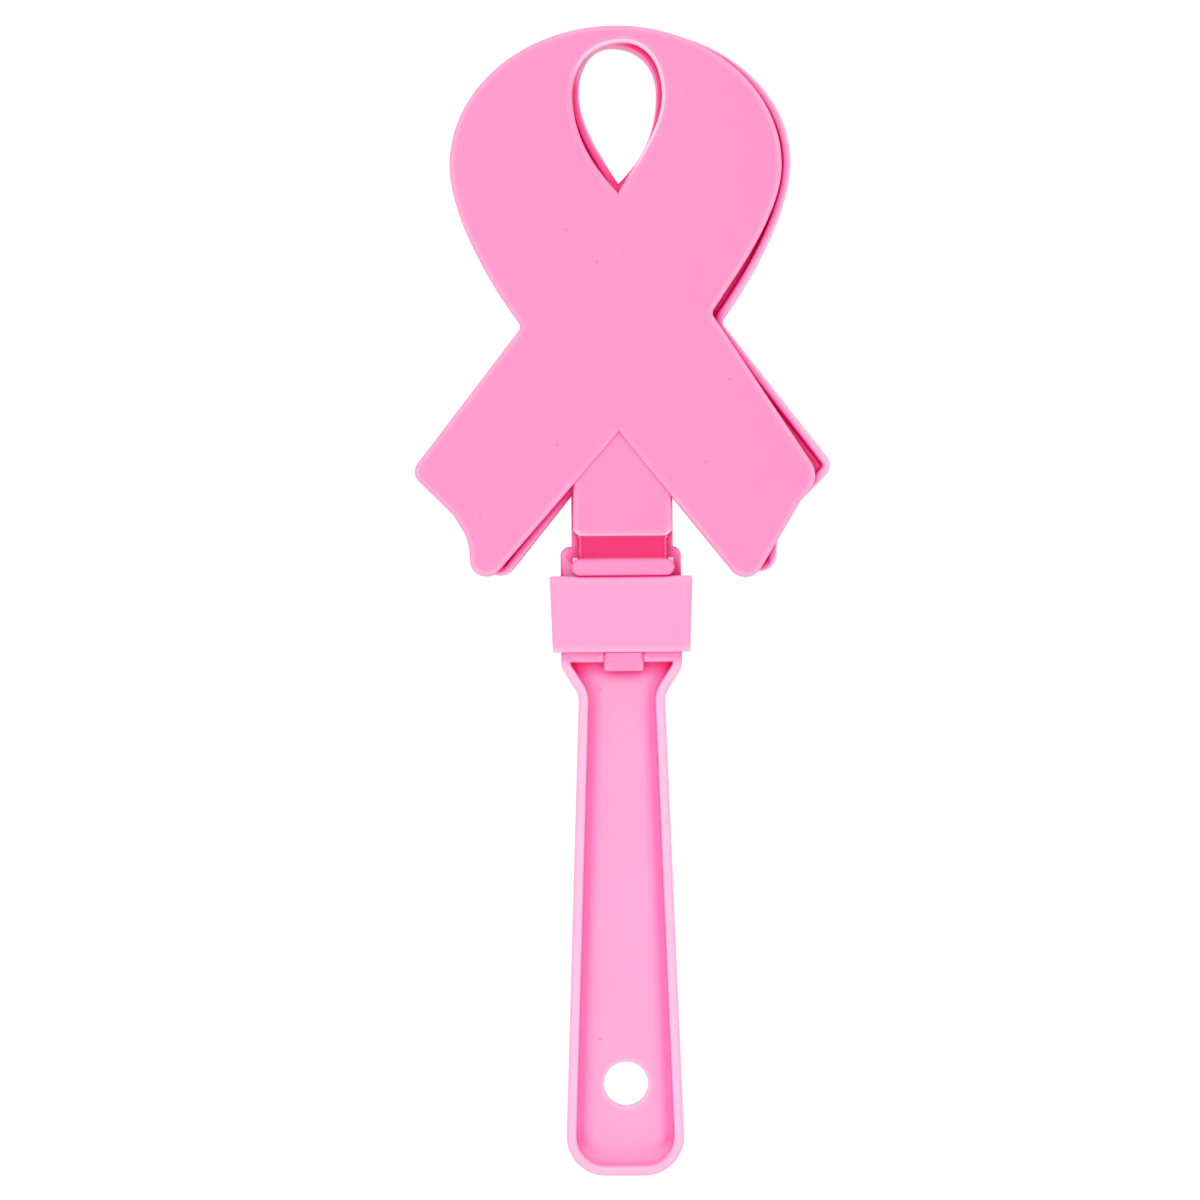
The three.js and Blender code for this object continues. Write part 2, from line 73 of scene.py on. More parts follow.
# Handle moulding
FLOOR_THICKNESS = 1.6
TRAY_DEPTH = 4.0
TRAY_RIM = 1.5
GRIP_DEPTH = 9.0
GRIP_RIM = 1.6
HEAD_WIDTH = 20.0
NECK_WIDTH = 16.8
NECK_SHIFT = 0.25
SHOULDER_ABOVE_COLLAR = 4.9
SHOULDER_RADIUS = 1.55
CROSS_WALL_BELOW_COLLAR = 1.65
GRIP_LENGTH = 86.65
GRIP_ENTRY = 0.5
THROAT_WIDTH = 14.25
GRIP_END_WIDTH = 19.9
GRIP_END_RADIUS = 6.5
THROAT_START = 2.5
THROAT_LENGTH = 4.6
THROAT_OUTER_RADIUS = 2.5
THROAT_INNER_RADIUS = 3.5
HANG_HOLE_DIAMETER = 7.36
HANG_HOLE_FROM_END = 14.75
HANG_HOLE_X = 0.2

# Collar
COLLAR_LENGTH = 12.6
COLLAR_WALL = 1.4
COLLAR_SIDE_WALL = 1.55
COLLAR_TAPER = 0.45
SLIDE_CLEARANCE = 0.1
SIDE_CLEARANCE = 0.25
SEAT_CLEARANCE = 0.3

# Ribbon outline, heights above the collar's top edge
LOOP_CENTRE_X = -0.35
LOOP_HALF_WIDTH = 27.5
LOOP_HEIGHT = 68.0
LOOP_RISE = 23.1
FLANK_DROP = 7.5
NOTCH_RADIUS = 1.2
LEFT_NOTCH_X = -16.1
LEFT_NOTCH_HEIGHT = 41.4
LEFT_FLANK_LEAN = 6.0
LEFT_FLANK_REACH = 7.9
RIGHT_NOTCH_X = 15.3
RIGHT_NOTCH_HEIGHT = 43.4
RIGHT_FLANK_LEAN = 2.6
RIGHT_FLANK_REACH = 3.9
LEG_SPAN = 68.15
LEG_CENTRE_X = -0.675
LEFT_CORNER_HEIGHT = 17.3
LEFT_CORNER_RADIUS = 2.2
LEFT_FOOT_IN = 9.75
LEFT_FOOT_HEIGHT = 7.6
LEFT_FOOT_RADIUS = 11.0
LEFT_TIP_IN = 9.75
LEFT_TIP_HEIGHT = -4.4
LEFT_TIP_RADIUS = 2.7
CROTCH_X = -0.15
CROTCH_HEIGHT = 23.8
RIGHT_TIP_IN = 12.4
RIGHT_TIP_HEIGHT = -2.55
RIGHT_TIP_RADIUS = 2.95
RIGHT_FOOT_IN = 3.5
RIGHT_FOOT_HEIGHT = 12.3
RIGHT_FOOT_RADIUS = 4.0
RIGHT_CORNER_HEIGHT = 15.9
RIGHT_CORNER_RADIUS = 4.0

# Drop-shaped hole
DROP_APEX_BELOW_LOOP = 4.5
DROP_LENGTH = 24.85
DROP_WIDTH = 14.85
DROP_ROUND_RISE = 8.7
DROP_TOP_LEAN = 1.0
DROP_CROWN_FULLNESS = 0.6
DROP_LEFT_FULLNESS = 5.2
DROP_RIGHT_FULLNESS = 3.2
MIDDLE_DROP_MARGIN = 1.0
MIDDLE_DROP_SHIFT = -0.85

# How far the ribbons lie out of line with each other
MIDDLE_RIBBON_SHIFT = (0.9, 0.65)
REAR_RIBBON_SHIFT = (-0.5, 0.6)

# The middle ribbon's crown is a little lower than the plates', and one leg is narrower
MIDDLE_CROWN_DROP = 0.9
MIDDLE_LEG_TRIM = 0.33

# Clapper moulding
PLATE_THICKNESS = 1.9
CLAP_GAP = 0.4
ROOT_SHIFT = 0.35
TONGUE_WIDTH = 16.46
TONGUE_THICKNESS = 1.4
WEB_WIDTH = 14.44
WEB_LENGTH = 3.75
WEB_THICKNESS = 0.5
WEB_CLIMB = 1.2
BAR_WIDTH = 16.96
BAR_LENGTH = 2.8
BAR_STAND = 0.3
STRIP_WIDTH = 14.4
LOCATOR_WIDTH = 9.0
LOCATOR_LENGTH = 5.0
LOCATOR_DEPTH = 0.9
TAIL_WIDTH = 6.58
TAIL_LENGTH = 3.15
TAIL_RADIUS = 0.5
CATCH_HEIGHT = 0.6
CATCH_GAP = 0.05

# Rounding of edges and fillets, which only show close up
PLATE_EDGE = 0.5
DROP_BEVEL = 0.72
TRAY_EDGE = 0.45
TRAY_FILLET = 0.3
GRIP_EDGE = 0.6
GRIP_RIM_EDGE = 0.4
GRIP_FILLET = 0.9
CROSS_WALL_EDGE = 0.5
COLLAR_EDGE = 1.1
COLLAR_TOP_EDGE = 0.8
COLLAR_LOW_EDGE = 0.45
COLLAR_SIDE_SHARE = 0.2
BAR_EDGE = 0.9
TAIL_EDGE = 0.6
TAIL_CORNER = 0.8
TONGUE_EDGE = 0.6
SMALL_EDGE = 0.15

# The radius of the stop bar's round ends, as a share of its length along the handle
BAR_END_SHARE = 0.499

# Small marks of the moulding that the solids leave out
TONGUE_CHAMFER = 1.0
WEB_FLARE = 0.35
WEB_BEAD = 0.4
WEB_BEAD_THICKNESS = 0.8
BAR_NUB_WIDTH = 0.95
BAR_NUB_REACH = 0.25
BAR_NUB_DROP = 0.8
TAIL_STEP = 0.15
TAIL_NOTCH_GAP = 0.02

# Steps in a rounded corner, a curve, a round hole, a rounded edge and the length of a web
ARC_STEPS = 14
CURVE_STEPS = 26
HOLE_STEPS = 96
EDGE_STEPS = 5
WEB_STEPS = 24

# Points that are closer than this become one, in a stack of rings and in a whole piece
RING_WELD = 1e-5
PIECE_WELD = 1e-4

# Edges that turn by more than this many degrees are drawn sharp
SHARP_ANGLE = 38.0

# Levels and places that follow from the sizes above
BORE_DEPTH = GRIP_DEPTH + 2 * SLIDE_CLEARANCE
BORE_WIDTH = HEAD_WIDTH + 2 * SIDE_CLEARANCE
COLLAR_DEPTH = BORE_DEPTH + 2 * COLLAR_WALL
MIDDLE_Z = COLLAR_DEPTH / 2
COLLAR_TOP = COLLAR_LENGTH / 2
COLLAR_BOTTOM = -COLLAR_LENGTH / 2
TRAY_TOP_Z = MIDDLE_Z + TRAY_DEPTH / 2
FLOOR_TOP_Z = MIDDLE_Z + FLOOR_THICKNESS / 2
SEAT_Z = TRAY_TOP_Z + SEAT_CLEARANCE
STRIP_TOP_Z = MIDDLE_Z + BORE_DEPTH / 2 - SEAT_CLEARANCE
BAR_TOP_Z = COLLAR_DEPTH + BAR_STAND
PLATE_Z = TRAY_TOP_Z + CLAP_GAP
PLATE_TOP_Z = PLATE_Z + PLATE_THICKNESS
BAR_TOP_Y = COLLAR_TOP + BAR_LENGTH
TONGUE_END_Y = BAR_TOP_Y + WEB_LENGTH
GRIP_TOP_Y = COLLAR_BOTTOM + GRIP_ENTRY
GRIP_END_Y = COLLAR_BOTTOM - GRIP_LENGTH
CROSS_WALL_Y = COLLAR_BOTTOM - CROSS_WALL_BELOW_COLLAR
DROP_APEX_HEIGHT = LOOP_HEIGHT - DROP_APEX_BELOW_LOOP
DROP_APEX_Y = COLLAR_TOP + DROP_APEX_HEIGHT

# How far cutting tools and hidden ends run past a face
PAST = 1.0


# Outlines are lists of corners, anticlockwise, where a corner with a radius has so many steps

Corner = namedtuple("Corner", "x y r steps")


def corner(x, y, r=0.0):
    return Corner(x, y, r, ARC_STEPS if r else 0)


def turn_at(corners, i):
    """The directions into and out of a corner, and the angle between them."""
    before, here, after = corners[i - 1], corners[i], corners[(i + 1) % len(corners)]
    inward = Vector((here.x - before.x, here.y - before.y)).normalized()
    onward = Vector((after.x - here.x, after.y - here.y)).normalized()
    return inward, onward, math.atan2(inward.cross(onward), inward.dot(onward))


def rounded_points(corners):
    """The points of an outline, with each rounded corner as an arc."""
    points = []
    for i, here in enumerate(corners):
        inward, onward, turn = turn_at(corners, i)
        place = Vector((here.x, here.y))
        if not here.steps:
            points.append(place)
            continue
        start = place - inward * here.r * math.tan(abs(turn) / 2)
        centre = start + Vector((-inward.y, inward.x)) * math.copysign(here.r, turn)
        for k in range(here.steps + 1):
            points.append(centre + Matrix.Rotation(turn * k / here.steps, 2) @ (start - centre))
    return points


def inset(corners, distance):
    """The outline moved inwards, or outwards by a negative distance."""
    moved_in = []
    for i, here in enumerate(corners):
        inward, onward, turn = turn_at(corners, i)
        share = distance / (1 + inward.dot(onward))
        radius = here.r - math.copysign(distance, turn)
        moved_in.append(Corner(
            here.x - share * (inward.y + onward.y),
            here.y + share * (inward.x + onward.x),
            max(0.0, radius) if here.steps else 0.0,
            here.steps,
        ))
    return moved_in


def mirrored(corners):
    return [c._replace(x=-c.x) for c in reversed(corners)]


def moved(corners, dx, dy):
    return [c._replace(x=c.x + dx, y=c.y + dy) for c in corners]


def bezier(a, b, c, d, steps=CURVE_STEPS):
    points = []
    for k in range(steps + 1):
        t = k / steps
        s = 1 - t
        p = a * s**3 + b * 3 * s * s * t + c * 3 * s * t * t + d * t**3
        points.append(corner(p.x, p.y))
    return points


def half_ellipse(cx, cy, half_width, rise, steps):
    angles = [math.pi * k / steps for k in range(steps + 1)]
    return [corner(cx + half_width * math.cos(a), cy + rise * math.sin(a)) for a in angles]


def rectangle(left, right, low, high, r=0.0):
    return [corner(left, low, r), corner(right, low, r), corner(right, high, r), corner(left, high, r)]


def ribbon_corners(crown_drop=0.0, right_leg_trim=0.0):
    """The loop as curves, the crossed legs as rounded corners, from the left notch."""
    waist = COLLAR_TOP + LOOP_HEIGHT
    left_notch = Vector((LEFT_NOTCH_X, COLLAR_TOP + LEFT_NOTCH_HEIGHT))
    right_notch = Vector((RIGHT_NOTCH_X, COLLAR_TOP + RIGHT_NOTCH_HEIGHT))
    left_waist = Vector((LOOP_CENTRE_X - LOOP_HALF_WIDTH, waist))
    right_waist = Vector((LOOP_CENTRE_X + LOOP_HALF_WIDTH, waist))
    lean = Vector((RIGHT_FLANK_LEAN, RIGHT_FLANK_REACH))
    below = Vector((0, -FLANK_DROP))
    flank_end = right_notch + lean
    right_flank = bezier(flank_end, flank_end + lean, right_waist + below, right_waist)
    left_pull = left_notch + Vector((-LEFT_FLANK_LEAN, LEFT_FLANK_REACH))
    left_flank = bezier(left_waist, left_waist + below, left_pull, left_notch)
    rise = LOOP_RISE - crown_drop
    crown = half_ellipse(LOOP_CENTRE_X, waist, LOOP_HALF_WIDTH, rise, 3 * CURVE_STEPS)
    left_end = LEG_CENTRE_X - LEG_SPAN / 2
    right_end = LEG_CENTRE_X + LEG_SPAN / 2
    right_tip_x = right_end - RIGHT_TIP_IN + right_leg_trim
    base = COLLAR_TOP
    return [
        corner(left_notch.x, left_notch.y, NOTCH_RADIUS),
        corner(left_end, base + LEFT_CORNER_HEIGHT, LEFT_CORNER_RADIUS),
        corner(left_end + LEFT_FOOT_IN, base + LEFT_FOOT_HEIGHT, LEFT_FOOT_RADIUS),
        corner(left_end + LEFT_TIP_IN, base + LEFT_TIP_HEIGHT, LEFT_TIP_RADIUS),
        corner(CROTCH_X + right_leg_trim, base + CROTCH_HEIGHT),
        corner(right_tip_x, base + RIGHT_TIP_HEIGHT, RIGHT_TIP_RADIUS),
        corner(right_end - RIGHT_FOOT_IN, base + RIGHT_FOOT_HEIGHT, RIGHT_FOOT_RADIUS),
        corner(right_end, base + RIGHT_CORNER_HEIGHT, RIGHT_CORNER_RADIUS),
        corner(right_notch.x, right_notch.y, NOTCH_RADIUS),
        *right_flank[:-1],
        *crown,
        *left_flank[1:-1],
    ]


def drop_corners(margin=0.0):
    """A drop with its point down and its crown leaning right, smaller all round by a margin."""
    apex = Vector((0, DROP_APEX_Y + margin))
    top = Vector((DROP_TOP_LEAN, apex.y + DROP_LENGTH - 2 * margin))
    half = DROP_WIDTH / 2 - margin
    rise = DROP_ROUND_RISE - margin
    shoulder_y = top.y - rise
    low_y = apex.y + (shoulder_y - apex.y) / 3
    mid_y = shoulder_y - (shoulder_y - apex.y) / 3
    high_y = shoulder_y + DROP_CROWN_FULLNESS * rise
    right_pull = top.x + DROP_CROWN_FULLNESS * (half - top.x)
    left_pull = top.x - DROP_CROWN_FULLNESS * (half + top.x)
    right_shoulder = Vector((half, shoulder_y))
    left_shoulder = Vector((-half, shoulder_y))
    anticlockwise = [
        (apex, Vector((DROP_RIGHT_FULLNESS, low_y)), Vector((half, mid_y)), right_shoulder),
        (right_shoulder, Vector((half, high_y)), Vector((right_pull, top.y)), top),
        (top, Vector((left_pull, top.y)), Vector((-half, high_y)), left_shoulder),
        (left_shoulder, Vector((-half, mid_y)), Vector((-DROP_LEFT_FULLNESS, low_y)), apex),
    ]
    return [place for points in anticlockwise for place in bezier(*points)[:-1]]


def neck_corners():
    """Head, shoulders and neck, from the cross wall up into the crossing of the legs."""
    shoulder_y = COLLAR_TOP + SHOULDER_ABOVE_COLLAR
    neck_top = COLLAR_TOP + CROTCH_HEIGHT + NECK_WIDTH / 2
    half = HEAD_WIDTH / 2
    left = NECK_SHIFT - NECK_WIDTH / 2
    right = NECK_SHIFT + NECK_WIDTH / 2
    return [
        corner(-half, CROSS_WALL_Y),
        corner(half, CROSS_WALL_Y),
        corner(half, shoulder_y, SHOULDER_RADIUS),
        corner(right, shoulder_y),
        corner(right, neck_top),
        corner(left, neck_top),
        corner(left, shoulder_y),
        corner(-half, shoulder_y, SHOULDER_RADIUS),
    ]


def neck_recess_corners():
    """The tray's recess in the neck, which starts above the solid head."""
    low = COLLAR_TOP + SHOULDER_ABOVE_COLLAR
    high = COLLAR_TOP + CROTCH_HEIGHT + NECK_WIDTH / 2 - TRAY_RIM
    half = NECK_WIDTH / 2 - TRAY_RIM
    return rectangle(NECK_SHIFT - half, NECK_SHIFT + half, low, high)


def grip_corners(top_y):
    """The grip from its open top down to its round end."""
    throat_top = COLLAR_BOTTOM - THROAT_START
    throat_end = throat_top - THROAT_LENGTH
    head = HEAD_WIDTH / 2
    throat = THROAT_WIDTH / 2
    end = GRIP_END_WIDTH / 2
    return [
        corner(head, top_y),
        corner(-head, top_y),
        corner(-head, throat_top, THROAT_OUTER_RADIUS),
        corner(-throat, throat_end, THROAT_INNER_RADIUS),
        corner(-end, GRIP_END_Y, GRIP_END_RADIUS),
        corner(end, GRIP_END_Y, GRIP_END_RADIUS),
        corner(throat, throat_end, THROAT_INNER_RADIUS),
        corner(head, throat_top, THROAT_OUTER_RADIUS),
    ]


# Sides of solids, as (outset, height) steps from the bottom up


def quarter():
    return [math.pi / 2 * k / EDGE_STEPS for k in range(EDGE_STEPS + 1)]


def low_edge(level, radius):
    return [(-radius * (1 - math.sin(a)), level + radius * (1 - math.cos(a))) for a in quarter()]


def high_edge(level, radius):
    return [(-radius * (1 - math.cos(a)), level - radius * (1 - math.sin(a))) for a in quarter()]


def rounded_side(low, high, low_radius, high_radius):
    return low_edge(low, low_radius) + high_edge(high, high_radius)


def recess_side(floor, top, rim_radius, fillet):
    """The side of a tool that cuts a recess with a filleted floor and a rounded rim."""
    flare = [(rim_radius * (1 - math.cos(a)), top - rim_radius * (1 - math.sin(a))) for a in quarter()]
    return low_edge(floor, fillet) + flare + [(rim_radius, top + PAST)]


def through_side(low, high, radius):
    """The side of a tool that cuts a hole with both edges rounded."""
    flare = [(radius * (1 - math.cos(a)), radius * (1 - math.sin(a))) for a in quarter()]
    bottom = [(out, low + up) for out, up in reversed(flare)]
    top = [(out, high - down) for out, down in flare]
    return [(radius, low - PAST), *bottom, *top, (radius, high + PAST)]


# Closed meshes, kept as bmesh in millimetres


def rings(corners, side):
    return [[Vector((p.x, p.y, z)) for p in rounded_points(inset(corners, -out))] for out, z in side]


def closed_mesh(outer, *holes):
    """A closed solid from an outer stack of rings and stacks that line its holes, with flat ends."""
    mesh = bmesh.new()
    ends = [[], []]
    for number, stack in enumerate([outer, *holes]):
        rows = [[mesh.verts.new(p) for p in ring] for ring in stack]
        for low, high in zip(rows, rows[1:]):
            for i in range(len(low)):
                quad = [low[i - 1], low[i], high[i], high[i - 1]]
                face = mesh.faces.new(quad if number == 0 else quad[::-1])
                face.smooth = True
        ends[0].append(rows[0])
        ends[1].append(rows[-1])
    for loops in ends:
        verts = [v for loop in loops for v in loop]
        for triangle in tessellate_polygon([[v.co for v in loop] for loop in loops]):
            mesh.faces.new([verts[i] for i in triangle])
    bmesh.ops.remove_doubles(mesh, verts=mesh.verts, dist=RING_WELD)
    bmesh.ops.recalc_face_normals(mesh, faces=mesh.faces)
    return mesh


def rounded_slab(corners, low, high, low_radius, high_radius):
    return closed_mesh(rings(corners, rounded_side(low, high, low_radius, high_radius)))


def turned_over(mesh):
    """The same solid seen from behind, turned about the long axis."""
    copy = mesh.copy()
    turn = Matrix.Translation((0, 0, COLLAR_DEPTH)) @ Matrix.Rotation(math.pi, 4, "Y")
    bmesh.ops.transform(copy, matrix=turn, verts=copy.verts)
    return copy


def mirrored_in_depth(mesh):
    copy = mesh.copy()
    flip = Matrix.Translation((0, 0, COLLAR_DEPTH)) @ Matrix.Diagonal((1, 1, -1, 1))
    bmesh.ops.transform(copy, matrix=flip, verts=copy.verts)
    bmesh.ops.reverse_faces(copy, faces=copy.faces)
    return copy


def scratch_object(mesh):
    data = bpy.data.meshes.new("scratch")
    mesh.to_mesh(data)
    piece = bpy.data.objects.new("scratch", data)
    bpy.context.scene.collection.objects.link(piece)
    return piece


def combine(mesh, operation, tools):
    """Joins the tools to the mesh or cuts them from it, one after the other."""
    body = scratch_object(mesh)
    helpers = [scratch_object(tool) for tool in tools]
    for helper in helpers:
        modifier = body.modifiers.new("combine", "BOOLEAN")
        modifier.operation = operation
        modifier.solver = "EXACT"
        modifier.object = helper
    evaluated = body.evaluated_get(bpy.context.evaluated_depsgraph_get())
    result = bmesh.new()
    result.from_mesh(evaluated.to_mesh())
    evaluated.to_mesh_clear()
    for used in [body, *helpers]:
        data = used.data
        bpy.data.objects.remove(used)
        bpy.data.meshes.remove(data)
    return result


def join(mesh, *tools):
    return combine(mesh, "UNION", tools)


def cut(mesh, *tools):
    return combine(mesh, "DIFFERENCE", tools)


def finished_piece(name, mesh, materials):
    """Turns a millimetre mesh into an object in metres, smooth but for its real edges."""
    bmesh.ops.remove_doubles(mesh, verts=mesh.verts, dist=PIECE_WELD)
    bmesh.ops.dissolve_degenerate(mesh, edges=mesh.edges, dist=PIECE_WELD)
    bmesh.ops.scale(mesh, vec=(MM, MM, MM), verts=mesh.verts)
    data = bpy.data.meshes.new(name)
    mesh.to_mesh(data)
    mesh.free()
    data.set_sharp_from_angle(angle=math.radians(SHARP_ANGLE))
    for material in materials:
        data.materials.append(material)
    piece = bpy.data.objects.new(name, data)
    bpy.context.scene.collection.objects.link(piece)
    return piece


# Handle


def ribbon_tray():
    """The middle ribbon and the neck: a rimmed floor, open on both sides, with its hole."""
    low_z = MIDDLE_Z - TRAY_DEPTH / 2
    corners = ribbon_corners(MIDDLE_CROWN_DROP, MIDDLE_LEG_TRIM)
    outline = moved(mirrored(corners), *MIDDLE_RIBBON_SHIFT)
    drop = moved(
        mirrored(drop_corners(MIDDLE_DROP_MARGIN)),
        MIDDLE_RIBBON_SHIFT[0] + MIDDLE_DROP_SHIFT,
        MIDDLE_RIBBON_SHIFT[1],
    )
    plate = rounded_slab(outline, low_z, TRAY_TOP_Z, TRAY_EDGE, TRAY_EDGE)
    neck = rounded_slab(neck_corners(), low_z, TRAY_TOP_Z, TRAY_EDGE, TRAY_EDGE)
    side = recess_side(FLOOR_TOP_Z, TRAY_TOP_Z, TRAY_EDGE, TRAY_FILLET)
    island_side = [(-out, z) for out, z in side]
    recess = closed_mesh(
        rings(inset(outline, TRAY_RIM), side),
        rings(inset(drop, -TRAY_RIM), island_side),
    )
    neck_recess = closed_mesh(rings(neck_recess_corners(), side))
    hole = closed_mesh(rings(drop, through_side(low_z, TRAY_TOP_Z, TRAY_EDGE)))
    tray = join(plate, neck)
    return cut(
        tray,
        recess,
        neck_recess,
        mirrored_in_depth(recess),
        mirrored_in_depth(neck_recess),
        hole,
    )


def grip_tray():
    """The grip, whose recess ends at a cross wall that is notched for the snap tails."""
    low_z = MIDDLE_Z - GRIP_DEPTH / 2
    high_z = MIDDLE_Z + GRIP_DEPTH / 2
    past_top = GRIP_TOP_Y + GRIP_RIM + PAST
    body = rounded_slab(grip_corners(GRIP_TOP_Y), low_z, high_z, GRIP_EDGE, GRIP_EDGE)
    cross_wall = rounded_slab(
        rectangle(-HEAD_WIDTH, HEAD_WIDTH, CROSS_WALL_Y, past_top),
        MIDDLE_Z,
        high_z,
        SMALL_EDGE,
        CROSS_WALL_EDGE,
    )
    inner = inset(grip_corners(past_top), GRIP_RIM)
    side = recess_side(FLOOR_TOP_Z, high_z, GRIP_RIM_EDGE, GRIP_FILLET)
    recess = cut(closed_mesh(rings(inner, side)), cross_wall)
    half_width = TAIL_WIDTH / 2 + TAIL_NOTCH_GAP
    notch_outline = rectangle(
        ROOT_SHIFT - half_width,
        ROOT_SHIFT + half_width,
        CROSS_WALL_Y - PAST,
        GRIP_TOP_Y + PAST,
    )
    notch = closed_mesh(rings(notch_outline, recess_side(TRAY_TOP_Z, high_z, SMALL_EDGE, SMALL_EDGE)))
    return cut(body, recess, mirrored_in_depth(recess), notch, turned_over(notch))


def locator_pocket():
    half_width = LOCATOR_WIDTH / 2 + SEAT_CLEARANCE + ROOT_SHIFT
    half_length = LOCATOR_LENGTH / 2 + SEAT_CLEARANCE
    outline = rectangle(-half_width, half_width, -half_length, half_length, SMALL_EDGE)
    floor = TRAY_TOP_Z - LOCATOR_DEPTH
    return closed_mesh(rings(outline, recess_side(floor, TRAY_TOP_Z, SMALL_EDGE, SMALL_EDGE)))


def hang_hole():
    centre_y = GRIP_END_Y + HANG_HOLE_FROM_END
    radius = HANG_HOLE_DIAMETER / 2
    angles = [2 * math.pi * k / HOLE_STEPS for k in range(HOLE_STEPS)]
    circle = [corner(radius * math.cos(a), radius * math.sin(a)) for a in angles]
    low = MIDDLE_Z - FLOOR_THICKNESS / 2
    side = through_side(low, FLOOR_TOP_Z, SMALL_EDGE)
    return closed_mesh(rings(moved(circle, HANG_HOLE_X, centre_y), side))


def beside_drop(point, shift_x, shift_y, reach):
    """Whether a point is in the hole's box or within reach of it, or twice that below its tip."""
    low = DROP_APEX_Y + shift_y
    across = abs(point.x - shift_x) < DROP_WIDTH / 2 + reach
    return across and low - 2 * reach < point.y < low + DROP_LENGTH + reach


# The order of the handle's materials
GRIP, RIBBON, DROP_WALL = range(3)


def handle_mesh():
    """The whole handle, with materials of their own, which paint deeper shade, on the middle ribbon and
    round its hole.
    """
    pocket = locator_pocket()
    whole = join(ribbon_tray(), grip_tray())
    mesh = cut(whole, pocket, mirrored_in_depth(pocket), hang_hole())
    shift_x = MIDDLE_RIBBON_SHIFT[0] + MIDDLE_DROP_SHIFT
    for face in mesh.faces:
        middle = face.calc_center_median()
        if beside_drop(middle, shift_x, MIDDLE_RIBBON_SHIFT[1], 0):
            face.material_index = DROP_WALL
        elif middle.y > 0:
            face.material_index = RIBBON
        else:
            face.material_index = GRIP
    return mesh


# Collar


def collar_mesh():
    """A tapered sleeve, built as sections along the handle, whose ends are less rounded at its sides."""
    widest = BORE_WIDTH / 2 + COLLAR_SIDE_WALL
    outer = []
    for out, y in rounded_side(COLLAR_BOTTOM, COLLAR_TOP, COLLAR_LOW_EDGE, COLLAR_TOP_EDGE):
        half = widest - COLLAR_TAPER * (COLLAR_TOP - y) / COLLAR_LENGTH + COLLAR_SIDE_SHARE * out
        section = rectangle(-half, half, -out, COLLAR_DEPTH + out, COLLAR_EDGE)
        outer.append([Vector((p.x, y, p.y)) for p in rounded_points(section)])
    flare = through_side(COLLAR_BOTTOM, COLLAR_TOP, SMALL_EDGE)[1:-1]
    bore = rectangle(
        -BORE_WIDTH / 2,
        BORE_WIDTH / 2,
        MIDDLE_Z - BORE_DEPTH / 2,
        MIDDLE_Z + BORE_DEPTH / 2,
        SMALL_EDGE,
    )
    inner = [[Vector((p.x, y, p.y)) for p in rounded_points(inset(bore, -out))] for out, y in flare]
    return closed_mesh(outer, inner)


# Clappers

# The order of a plate's materials
PLATE, BEVEL_HIGHLIGHT, TONGUE_END_HIGHLIGHT = range(3)

# The height of the normal of a face that slopes
LEAST_UP = 0.05
MOST_UP = 0.97


def clapper_mesh(shift_x, shift_y):
    """A plate with its tongue, and materials of their own that paint highlights on the hole's bevel and
    the tongue's end.
    """
    outline = moved(ribbon_corners(), shift_x, shift_y)
    drop = moved(drop_corners(), shift_x, shift_y)
    outer_side = rounded_side(PLATE_Z, PLATE_TOP_Z, SMALL_EDGE, PLATE_EDGE)
    inner_side = rounded_side(PLATE_Z, PLATE_TOP_Z, SMALL_EDGE, DROP_BEVEL)
    plate = closed_mesh(rings(outline, outer_side), rings(drop, [(-out, z) for out, z in inner_side]))
    left = ROOT_SHIFT + shift_x - TONGUE_WIDTH / 2
    right = left + TONGUE_WIDTH
    low = TONGUE_END_Y + shift_y
    top = COLLAR_TOP + CROTCH_HEIGHT + TONGUE_WIDTH / 2
    tongue = [
        corner(left, low + TONGUE_CHAMFER),
        corner(left + TONGUE_CHAMFER, low),
        corner(right - TONGUE_CHAMFER, low),
        corner(right, low + TONGUE_CHAMFER),
        corner(right, top),
        corner(left, top),
    ]
    high = PLATE_Z + TONGUE_THICKNESS
    mesh = join(plate, rounded_slab(tongue, PLATE_Z, high, SMALL_EDGE, TONGUE_EDGE))
    for face in mesh.faces:
        middle = face.calc_center_median()
        sloping = LEAST_UP < face.normal.z < MOST_UP
        at_end = middle.y < low + TONGUE_CHAMFER and left < middle.x < right
        if sloping and beside_drop(middle, shift_x, shift_y, DROP_BEVEL):
            face.material_index = BEVEL_HIGHLIGHT
        elif sloping and at_end:
            face.material_index = TONGUE_END_HIGHLIGHT
        else:
            face.material_index = PLATE
    return mesh


def web_mesh(shift_x, shift_y):
    """A thin strip with beaded sides that climbs from the flared tongue end to the stop bar."""
    low_y = BAR_TOP_Y
    high_y = TONGUE_END_Y + shift_y
    low_z = PLATE_Z + TONGUE_THICKNESS / 2
    centre_x = ROOT_SHIFT + shift_x / 2
    thin = WEB_THICKNESS / 2
    thick = WEB_BEAD_THICKNESS / 2
    stack = []
    for k in range(WEB_STEPS + 1):
        t = k / WEB_STEPS
        y = high_y + (low_y - high_y) * t
        z = low_z + WEB_CLIMB * t
        from_flare = min(1.0, (high_y - y) / WEB_FLARE)
        half = WEB_WIDTH / 2 + WEB_FLARE * (1 - math.sqrt(1 - (1 - from_flare) ** 2))
        inner = half - WEB_BEAD
        slope = inner - (thick - thin)
        section = [
            corner(-half, -thick, SMALL_EDGE),
            corner(-inner, -thick, SMALL_EDGE),
            corner(-slope, -thin),
            corner(slope, -thin),
            corner(inner, -thick, SMALL_EDGE),
            corner(half, -thick, SMALL_EDGE),
            corner(half, thick, SMALL_EDGE),
            corner(inner, thick, SMALL_EDGE),
            corner(slope, thin),
            corner(-slope, thin),
            corner(-inner, thick, SMALL_EDGE),
            corner(-half, thick, SMALL_EDGE),
        ]
        stack.append([Vector((centre_x + p.x, y, z + p.y)) for p in rounded_points(section)])
    return closed_mesh(stack)


